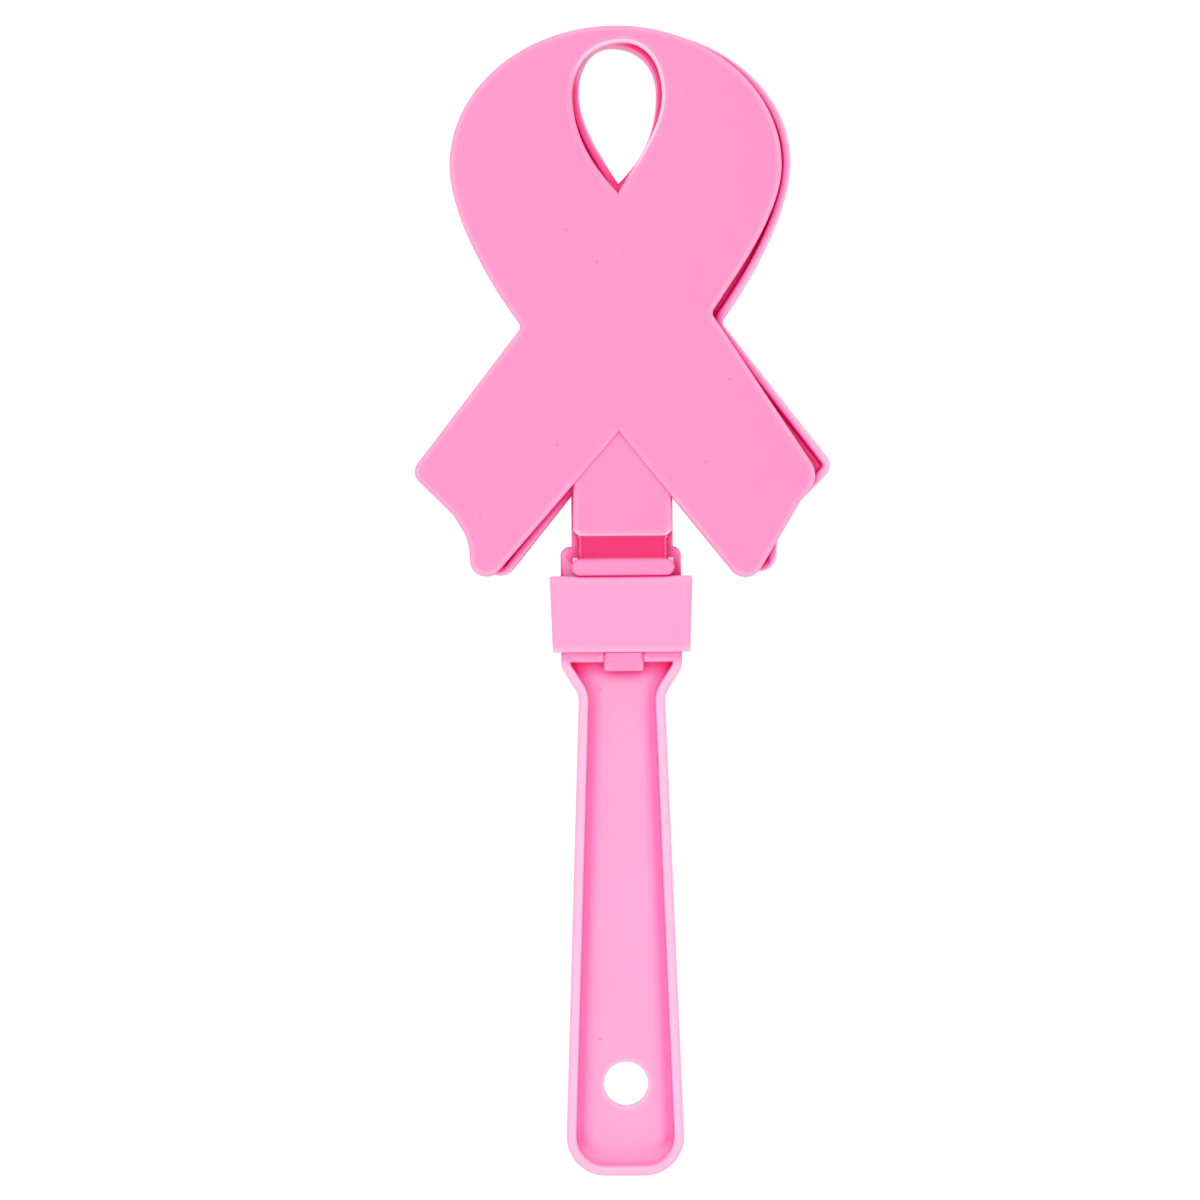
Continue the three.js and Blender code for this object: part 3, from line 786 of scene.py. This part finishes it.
def root_slab(width, ends, levels, radius=SMALL_EDGE, top_edge=SMALL_EDGE):
    """A slab of the anchor, as wide on either side of the root's middle line."""
    outline = rectangle(ROOT_SHIFT - width / 2, ROOT_SHIFT + width / 2, *ends, radius)
    return rounded_slab(outline, *levels, SMALL_EDGE, top_edge)


def bar_nub(left):
    """A small ear on the stop bar, beside the web."""
    low = BAR_TOP_Y - BAR_LENGTH / 2
    high = BAR_TOP_Y + BAR_NUB_REACH
    outline = rectangle(left, left + BAR_NUB_WIDTH, low, high, BAR_NUB_REACH)
    return rounded_slab(outline, SEAT_Z, BAR_TOP_Z - BAR_NUB_DROP, SMALL_EDGE, BAR_NUB_REACH)


def anchor_mesh():
    """The stop bar, the root strip with its locator, and the snap tail with its catch."""
    tail_end = COLLAR_BOTTOM - TAIL_LENGTH
    strip_end = GRIP_TOP_Y + SEAT_CLEARANCE
    bar_middle = BAR_TOP_Y - BAR_LENGTH / 2
    locator_low = TRAY_TOP_Z - LOCATOR_DEPTH + SEAT_CLEARANCE
    catch_top = MIDDLE_Z + BORE_DEPTH / 2 + CATCH_HEIGHT
    hidden = COLLAR_BOTTOM + PAST

    bar = root_slab(
        BAR_WIDTH,
        (COLLAR_TOP, BAR_TOP_Y),
        (SEAT_Z, BAR_TOP_Z),
        BAR_END_SHARE * BAR_LENGTH,
        BAR_EDGE,
    )
    strip = root_slab(STRIP_WIDTH, (strip_end, bar_middle), (SEAT_Z, STRIP_TOP_Z))
    locator = root_slab(
        LOCATOR_WIDTH,
        (-LOCATOR_LENGTH / 2, LOCATOR_LENGTH / 2),
        (locator_low, STRIP_TOP_Z - SMALL_EDGE),
    )
    tail = root_slab(TAIL_WIDTH, (tail_end, strip_end + PAST), (SEAT_Z, STRIP_TOP_Z), TAIL_RADIUS)
    catch = root_slab(
        TAIL_WIDTH,
        (tail_end, hidden),
        (SEAT_Z, catch_top - TAIL_STEP),
        TAIL_CORNER,
        TAIL_EDGE,
    )
    lip_width = TAIL_WIDTH - 2 * TAIL_STEP
    lip = root_slab(lip_width, (CROSS_WALL_Y, hidden), (SEAT_Z, catch_top), TAIL_RADIUS, TAIL_EDGE)
    collar_side = rectangle(-HEAD_WIDTH, HEAD_WIDTH, COLLAR_BOTTOM - CATCH_GAP, 0)
    under_collar = rounded_slab(collar_side, 0, COLLAR_DEPTH + PAST, 0, 0)
    square_catch = cut(join(catch, lip), under_collar)

    bar_left = ROOT_SHIFT - BAR_WIDTH / 2
    bar_right = ROOT_SHIFT + BAR_WIDTH / 2
    nubs = [bar_nub(bar_left + SMALL_EDGE), bar_nub(bar_right - SMALL_EDGE - BAR_NUB_WIDTH)]
    return join(bar, strip, locator, tail, square_catch, *nubs)


# Materials

HANDLE_COLOUR = (1.0, 0.4, 0.67)
COLLAR_COLOUR = (1.0, 0.345, 0.62)
CLAPPER_COLOUR = (1.0, 0.275, 0.545)
# A painted highlight, pale, on the rounded end of each tongue
TONGUE_END_HIGHLIGHT_COLOUR = (1.0, 0.6, 0.8)
# Painted shade: the web is coloured as deep as the shade it lies in between the tongue and the stop bar
WEB_SHADE_COLOUR = (0.87, 0.019, 0.18)
# The colour of the painted highlight along open edges
EDGE_HIGHLIGHT_COLOUR = (1.0, 0.72, 0.86, 1)
SPECK_COLOUR = (0.6, 0.1, 0.3, 1)

# The plastic's mottling, the unevenness of its gloss and the grain of its surface, coarse to fine
MOTTLE = 0.025
MOTTLE_SCALE = 70
GLOSS_SCALE = 400
ROUGHNESS = (0.36, 0.48)
GRAIN_SCALE = 2600
GRAIN_STRENGTH = 0.12
GRAIN_HEIGHT = 0.03

# Painted shade: walls within a reach deepen the plastic's colour towards red, deepest where so small a
# share of the sky is open, and not at all where so large a share is
PaintedShade = namedtuple("PaintedShade", "reach closed open")
OPEN_PARTS = PaintedShade(3.0, 0.15, 0.85)
NEAR_WALLS = PaintedShade(3.0, 0.32, 0.95)
UNDER_PLATES = PaintedShade(8.0, 0.42, 0.94)
DROP_SIDE = PaintedShade(8.0, 0.62, 1.0)
PAINTED_SHADE_TINTS = [(1, 0.005, 0.28), (1, 0.07, 0.46), (1, 0.28, 0.67), (1, 0.6, 0.84), (1, 1, 1)]

# Painted highlights: edges are paler as far in as a reach, by the lift where the least solid is behind
# them, as the span of its share says, and only as far as the sky is open before them
EDGE_REACH = 1.3
SMALL_PART_EDGE_REACH = 0.7
WEB_EDGE_REACH = 0.3
EDGE_SPAN = (0.4, 1.0)
EDGE_LIFT = 0.75
OPEN_SPAN = (0.55, 0.95)

# Painted shade and painted light: fades to another colour along a direction, between two distances from
# the axis's point at a level
Fade = namedtuple("Fade", "colour level direction low high")
# A painted highlight, pale, on the top and right of the hole's bevel
BEVEL_HIGHLIGHT_FADE = Fade((1.0, 0.66, 0.87, 1), DROP_APEX_Y, (0.87, 0.5, 0.0), 1.0, 7.0)
# Painted light: the upper left of the wall round the middle ribbon's hole is kept paler, where it is lit
DROP_WALL_LIGHT_FADE = Fade((1.0, 0.3, 0.53, 1), DROP_APEX_Y, (-0.6, 0.8, 0.0), 17.86, 20.36)
# Painted shade: the cross wall darkens towards the collar, which shades it
CROSS_WALL_SHADE_FADE = Fade((1.0, 0.25, 0.55, 1), CROSS_WALL_Y, (0.0, 1.0, 0.0), -0.45, 0.75)
# Painted light: towards the grip's end an even colour takes the place of the painted shade by the end
# wall
GRIP_END_LIGHT_FADE = Fade((1.0, 0.37, 0.64, 1), GRIP_END_Y, (0.0, -1.0, 0.0), -5.95, -2.85)


def plastic(name, colour, edge_reach, painted_shade=NEAR_WALLS, specks=(), fades=()):
    """Satin moulded plastic: painted shade, redder near walls, painted highlights, paler along open
    edges, any painted fades, and a few specks.
    """
    material = bpy.data.materials.new(name)
    material.use_nodes = True
    tree = material.node_tree
    nodes, links = tree.nodes, tree.links
    shader = nodes["Principled BSDF"]
    shader.inputs["Metallic"].default_value = 0.0
    shader.inputs["Specular IOR Level"].default_value = 0.4
    shader.inputs["Subsurface Weight"].default_value = 0.15
    shader.inputs["Subsurface Radius"].default_value = (1.0, 0.4, 0.55)
    shader.inputs["Subsurface Scale"].default_value = 0.0012
    place = nodes.new("ShaderNodeTexCoord").outputs["Object"]

    def feed(socket, given):
        if isinstance(given, bpy.types.NodeSocket):
            links.new(given, socket)
        else:
            socket.default_value = given

    def math_value(operation, *inputs, kind="ShaderNodeMath"):
        node = nodes.new(kind)
        node.operation = operation
        for socket, given in zip(node.inputs, inputs):
            feed(socket, given)
        return node.outputs["Value"]

    def noise(scale, detail):
        texture = nodes.new("ShaderNodeTexNoise")
        texture.inputs["Scale"].default_value = scale
        texture.inputs["Detail"].default_value = detail
        links.new(place, texture.inputs["Vector"])
        return texture.outputs["Fac"]

    def span(source, low, high, to_low=0.0, to_high=1.0):
        node = nodes.new("ShaderNodeMapRange")
        node.interpolation_type = "SMOOTHSTEP"
        node.inputs["From Min"].default_value = low
        node.inputs["From Max"].default_value = high
        node.inputs["To Min"].default_value = to_low
        node.inputs["To Max"].default_value = to_high
        links.new(source, node.inputs["Value"])
        return node.outputs["Result"]

    def openness(reach, inside):
        node = nodes.new("ShaderNodeAmbientOcclusion")
        node.samples = 8
        node.inside = inside
        node.inputs["Distance"].default_value = reach * MM
        return node.outputs["AO"]

    def colour_mix(factor, low, high, blend="MIX"):
        node = nodes.new("ShaderNodeMix")
        node.data_type = "RGBA"
        node.blend_type = blend
        feed(node.inputs[0], factor)
        feed(node.inputs[6], low)
        feed(node.inputs[7], high)
        return node.outputs[2]

    duller = [c * (1 - MOTTLE) for c in colour]
    brighter = [min(1.0, c * (1 + MOTTLE)) for c in colour]
    mottled = colour_mix(noise(MOTTLE_SCALE, 3), (*duller, 1), (*brighter, 1))

    # Painted shade: the colour is multiplied by deeper reds where less of the sky is open
    around = openness(painted_shade.reach, False)
    ramp = nodes.new("ShaderNodeValToRGB")
    stops = ramp.color_ramp.elements
    links.new(around, ramp.inputs["Fac"])
    between_stops = (painted_shade.open - painted_shade.closed) / (len(PAINTED_SHADE_TINTS) - 1)
    for k, tint in enumerate(PAINTED_SHADE_TINTS):
        share = painted_shade.closed + between_stops * k
        stop = stops[0] if k == 0 else stops.new(share)
        stop.position = share
        stop.color = (*tint, 1)
    stops.remove(stops[-1])
    with_painted_light = colour_mix(1.0, mottled, ramp.outputs["Color"], "MULTIPLY")

    # Painted shade and painted light, each faded in along its direction
    for fade in fades:
        direction = Vector(fade.direction)
        along = math_value("DOT_PRODUCT", place, direction, kind="ShaderNodeVectorMath")
        start = fade.level * direction.y
        faded = span(along, (start + fade.low) * MM, (start + fade.high) * MM)
        with_painted_light = colour_mix(faded, with_painted_light, fade.colour)
    # Painted highlight: open edges are mixed towards a paler colour
    near_edge = span(openness(edge_reach, True), *EDGE_SPAN, EDGE_LIFT, 0.0)
    lift = math_value("MULTIPLY", near_edge, span(around, *OPEN_SPAN))
    surface = colour_mix(lift, with_painted_light, EDGE_HIGHLIGHT_COLOUR)

    for speck in specks:
        apart = math_value("DISTANCE", place, Vector(speck) * MM, kind="ShaderNodeVectorMath")
        dot = math_value("LESS_THAN", apart, SPECK_RADIUS * MM)
        surface = colour_mix(dot, surface, SPECK_COLOUR)
    links.new(surface, shader.inputs["Base Color"])
    links.new(span(noise(GLOSS_SCALE, 4), 0.0, 1.0, *ROUGHNESS), shader.inputs["Roughness"])

    bump = nodes.new("ShaderNodeBump")
    bump.inputs["Strength"].default_value = GRAIN_STRENGTH
    bump.inputs["Distance"].default_value = GRAIN_HEIGHT * MM
    links.new(noise(GRAIN_SCALE, 2), bump.inputs["Height"])
    links.new(bump.outputs["Normal"], shader.inputs["Normal"])
    return material


# Dark specks in the plastic, on the front plate and on the grip's floor
SPECK_RADIUS = 0.12
PLATE_SPECKS = [
    (-8.64, 63.59, PLATE_TOP_Z),
    (-3.56, 58.25, PLATE_TOP_Z),
    (-23.24, 16.73, PLATE_TOP_Z),
    (-10.41, 28.04, PLATE_TOP_Z),
    (18.29, 38.73, PLATE_TOP_Z),
    (14.21, 25.03, PLATE_TOP_Z),
]
GRIP_SPECKS = [(-3.62, -12.54, FLOOR_TOP_Z), (-4.09, -70.76, FLOOR_TOP_Z)]

grip_fades = [CROSS_WALL_SHADE_FADE, GRIP_END_LIGHT_FADE]
grip_pink = plastic("grip_pink", HANDLE_COLOUR, EDGE_REACH, specks=GRIP_SPECKS, fades=grip_fades)
# Deeper painted shade under the plates and in the wall round the middle ribbon's hole
middle_pink = plastic("middle_pink", HANDLE_COLOUR, EDGE_REACH, UNDER_PLATES)
wall_pink = plastic("wall_pink", HANDLE_COLOUR, WEB_EDGE_REACH, DROP_SIDE, fades=[DROP_WALL_LIGHT_FADE])
collar_pink = plastic("collar_pink", COLLAR_COLOUR, EDGE_REACH, OPEN_PARTS)
clapper_pink = plastic("clapper_pink", CLAPPER_COLOUR, EDGE_REACH, OPEN_PARTS, PLATE_SPECKS)
anchor_pink = plastic("anchor_pink", CLAPPER_COLOUR, SMALL_PART_EDGE_REACH, OPEN_PARTS)
bevel_highlight_pink = plastic("bevel_highlight_pink", CLAPPER_COLOUR, EDGE_REACH, OPEN_PARTS, fades=[BEVEL_HIGHLIGHT_FADE])
tongue_end_highlight_pink = plastic("tongue_end_highlight_pink", TONGUE_END_HIGHLIGHT_COLOUR, SMALL_PART_EDGE_REACH, OPEN_PARTS)
# The web's material paints it in shade
web_pink = plastic("web_pink", WEB_SHADE_COLOUR, WEB_EDGE_REACH)


# Pieces


def dress(name, mesh, materials, body):
    piece = finished_piece(name + "_look", mesh, materials)
    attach(piece, body)
    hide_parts(name)


dress("handle", handle_mesh(), [grip_pink, middle_pink, wall_pink], "handle")
dress("collar", collar_mesh(), [collar_pink], "handle")

anchor = anchor_mesh()
dress("rear_anchor", turned_over(anchor), [anchor_pink], "handle")
dress("front_anchor", anchor, [anchor_pink], "handle")

plate_pinks = [clapper_pink, bevel_highlight_pink, tongue_end_highlight_pink]
dress("front_clapper", clapper_mesh(0, 0), plate_pinks, "front_clapper")
rear_plate = turned_over(clapper_mesh(*REAR_RIBBON_SHIFT))
dress("rear_clapper", rear_plate, plate_pinks, "rear_clapper")


def dress_web(side, mesh):
    """A web between the stop bar and its clapper, with its place baked into its mesh."""
    piece = finished_piece(side + "_hinge_web_look", mesh, [web_pink])
    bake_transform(piece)
    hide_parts(side + "_hinge_web")


dress_web("front", web_mesh(0, 0))
dress_web("rear", turned_over(web_mesh(*REAR_RIBBON_SHIFT)))


# Floor, light and camera

# How far the floor lies below the object, and half its width in metres
FLOOR_DROP = 66.0
FLOOR_REACH = 3.0

# The floor that is seen glows up to white and keeps a shadow, and the floor that lights is plainly pale
FLOOR_SEEN = (0.14, 0.14, 0.14, 1)
FLOOR_GLOW = 0.92
FLOOR_LIGHTING = (0.8, 0.8, 0.8, 1)

# The lamps' size in metres
LAMP_SIZE = 0.7


def make_floor():
    """A white floor below the rear clapper's furthest swing, so that it hides no pose."""
    level = cad_box[0].z - FLOOR_DROP * MM
    signs = [(-1, -1), (1, -1), (1, 1), (-1, 1)]
    corners = [(x * FLOOR_REACH, y * FLOOR_REACH, level) for x, y in signs]
    data = bpy.data.meshes.new("floor")
    data.from_pydata(corners, [], [(0, 1, 2, 3)])
    material = bpy.data.materials.new("floor_white")
    material.use_nodes = True
    tree = material.node_tree
    tree.nodes.clear()
    out = tree.nodes.new("ShaderNodeOutputMaterial")
    path = tree.nodes.new("ShaderNodeLightPath")
    seen = tree.nodes.new("ShaderNodeBsdfDiffuse")
    seen.inputs["Color"].default_value = FLOOR_SEEN
    glow = tree.nodes.new("ShaderNodeEmission")
    glow.inputs["Strength"].default_value = FLOOR_GLOW
    add = tree.nodes.new("ShaderNodeAddShader")
    lighting = tree.nodes.new("ShaderNodeBsdfDiffuse")
    lighting.inputs["Color"].default_value = FLOOR_LIGHTING
    mix = tree.nodes.new("ShaderNodeMixShader")
    either = tree.nodes.new("ShaderNodeMath")
    either.operation = "MAXIMUM"
    tree.links.new(path.outputs["Is Camera Ray"], either.inputs[0])
    tree.links.new(path.outputs["Is Glossy Ray"], either.inputs[1])
    tree.links.new(seen.outputs[0], add.inputs[0])
    tree.links.new(glow.outputs[0], add.inputs[1])
    tree.links.new(either.outputs[0], mix.inputs["Fac"])
    tree.links.new(lighting.outputs[0], mix.inputs[1])
    tree.links.new(add.outputs[0], mix.inputs[2])
    tree.links.new(mix.outputs[0], out.inputs["Surface"])
    data.materials.append(material)
    floor = bpy.data.objects.new("floor", data)
    bpy.context.scene.collection.objects.link(floor)


def make_world(horizon, zenith):
    """A white tent that glows more at its sides than overhead, and is plain white to the camera."""
    world = bpy.data.worlds.new("studio")
    bpy.context.scene.world = world
    world.use_nodes = True
    tree = world.node_tree
    background = tree.nodes["Background"]
    background.inputs["Color"].default_value = (1, 1, 1, 1)
    path = tree.nodes.new("ShaderNodeLightPath")
    direction = tree.nodes.new("ShaderNodeTexCoord")
    split = tree.nodes.new("ShaderNodeSeparateXYZ")
    height = tree.nodes.new("ShaderNodeMapRange")
    height.inputs["To Min"].default_value = horizon
    height.inputs["To Max"].default_value = zenith
    level = tree.nodes.new("ShaderNodeMix")
    level.inputs["B"].default_value = 1.0
    tree.links.new(direction.outputs["Generated"], split.inputs[0])
    tree.links.new(split.outputs["Z"], height.inputs["Value"])
    tree.links.new(path.outputs["Is Camera Ray"], level.inputs["Factor"])
    tree.links.new(height.outputs["Result"], level.inputs["A"])
    tree.links.new(level.outputs["Result"], background.inputs["Strength"])


def area_lamp(name, place, power):
    """A soft lamp at a place in metres, aimed at the collar."""
    data = bpy.data.lights.new(name, "AREA")
    data.shape = "SQUARE"
    data.size = LAMP_SIZE
    data.energy = power
    lamp = bpy.data.objects.new(name, data)
    lamp.location = place
    lamp.rotation_mode = "QUATERNION"
    lamp.rotation_quaternion = (-Vector(place)).to_track_quat("-Z", "Y")
    bpy.context.scene.collection.objects.link(lamp)


def make_camera():
    """A camera straight above the plates, with the photograph's whole frame in view."""
    data = bpy.data.cameras.new("camera")
    data.sensor_width = SENSOR_WIDTH
    data.lens = SENSOR_WIDTH * CAMERA_HEIGHT / FRAME_WIDTH
    camera = bpy.data.objects.new("camera", data)
    camera.location = Vector((CAMERA_X, CAMERA_Y, PLATE_TOP_Z + CAMERA_HEIGHT)) * MM
    camera.rotation_euler = (0, 0, math.radians(CAMERA_TURN))
    bpy.context.scene.collection.objects.link(camera)
    bpy.context.scene.camera = camera


make_floor()
make_world(horizon=1.05, zenith=0.62)
area_lamp("key", place=(-0.12, 0.2, 1.2), power=3.9)
area_lamp("fill", place=(0.1, -0.5, 1.0), power=1.2)
make_camera()
bpy.context.scene.view_settings.view_transform = "Standard"
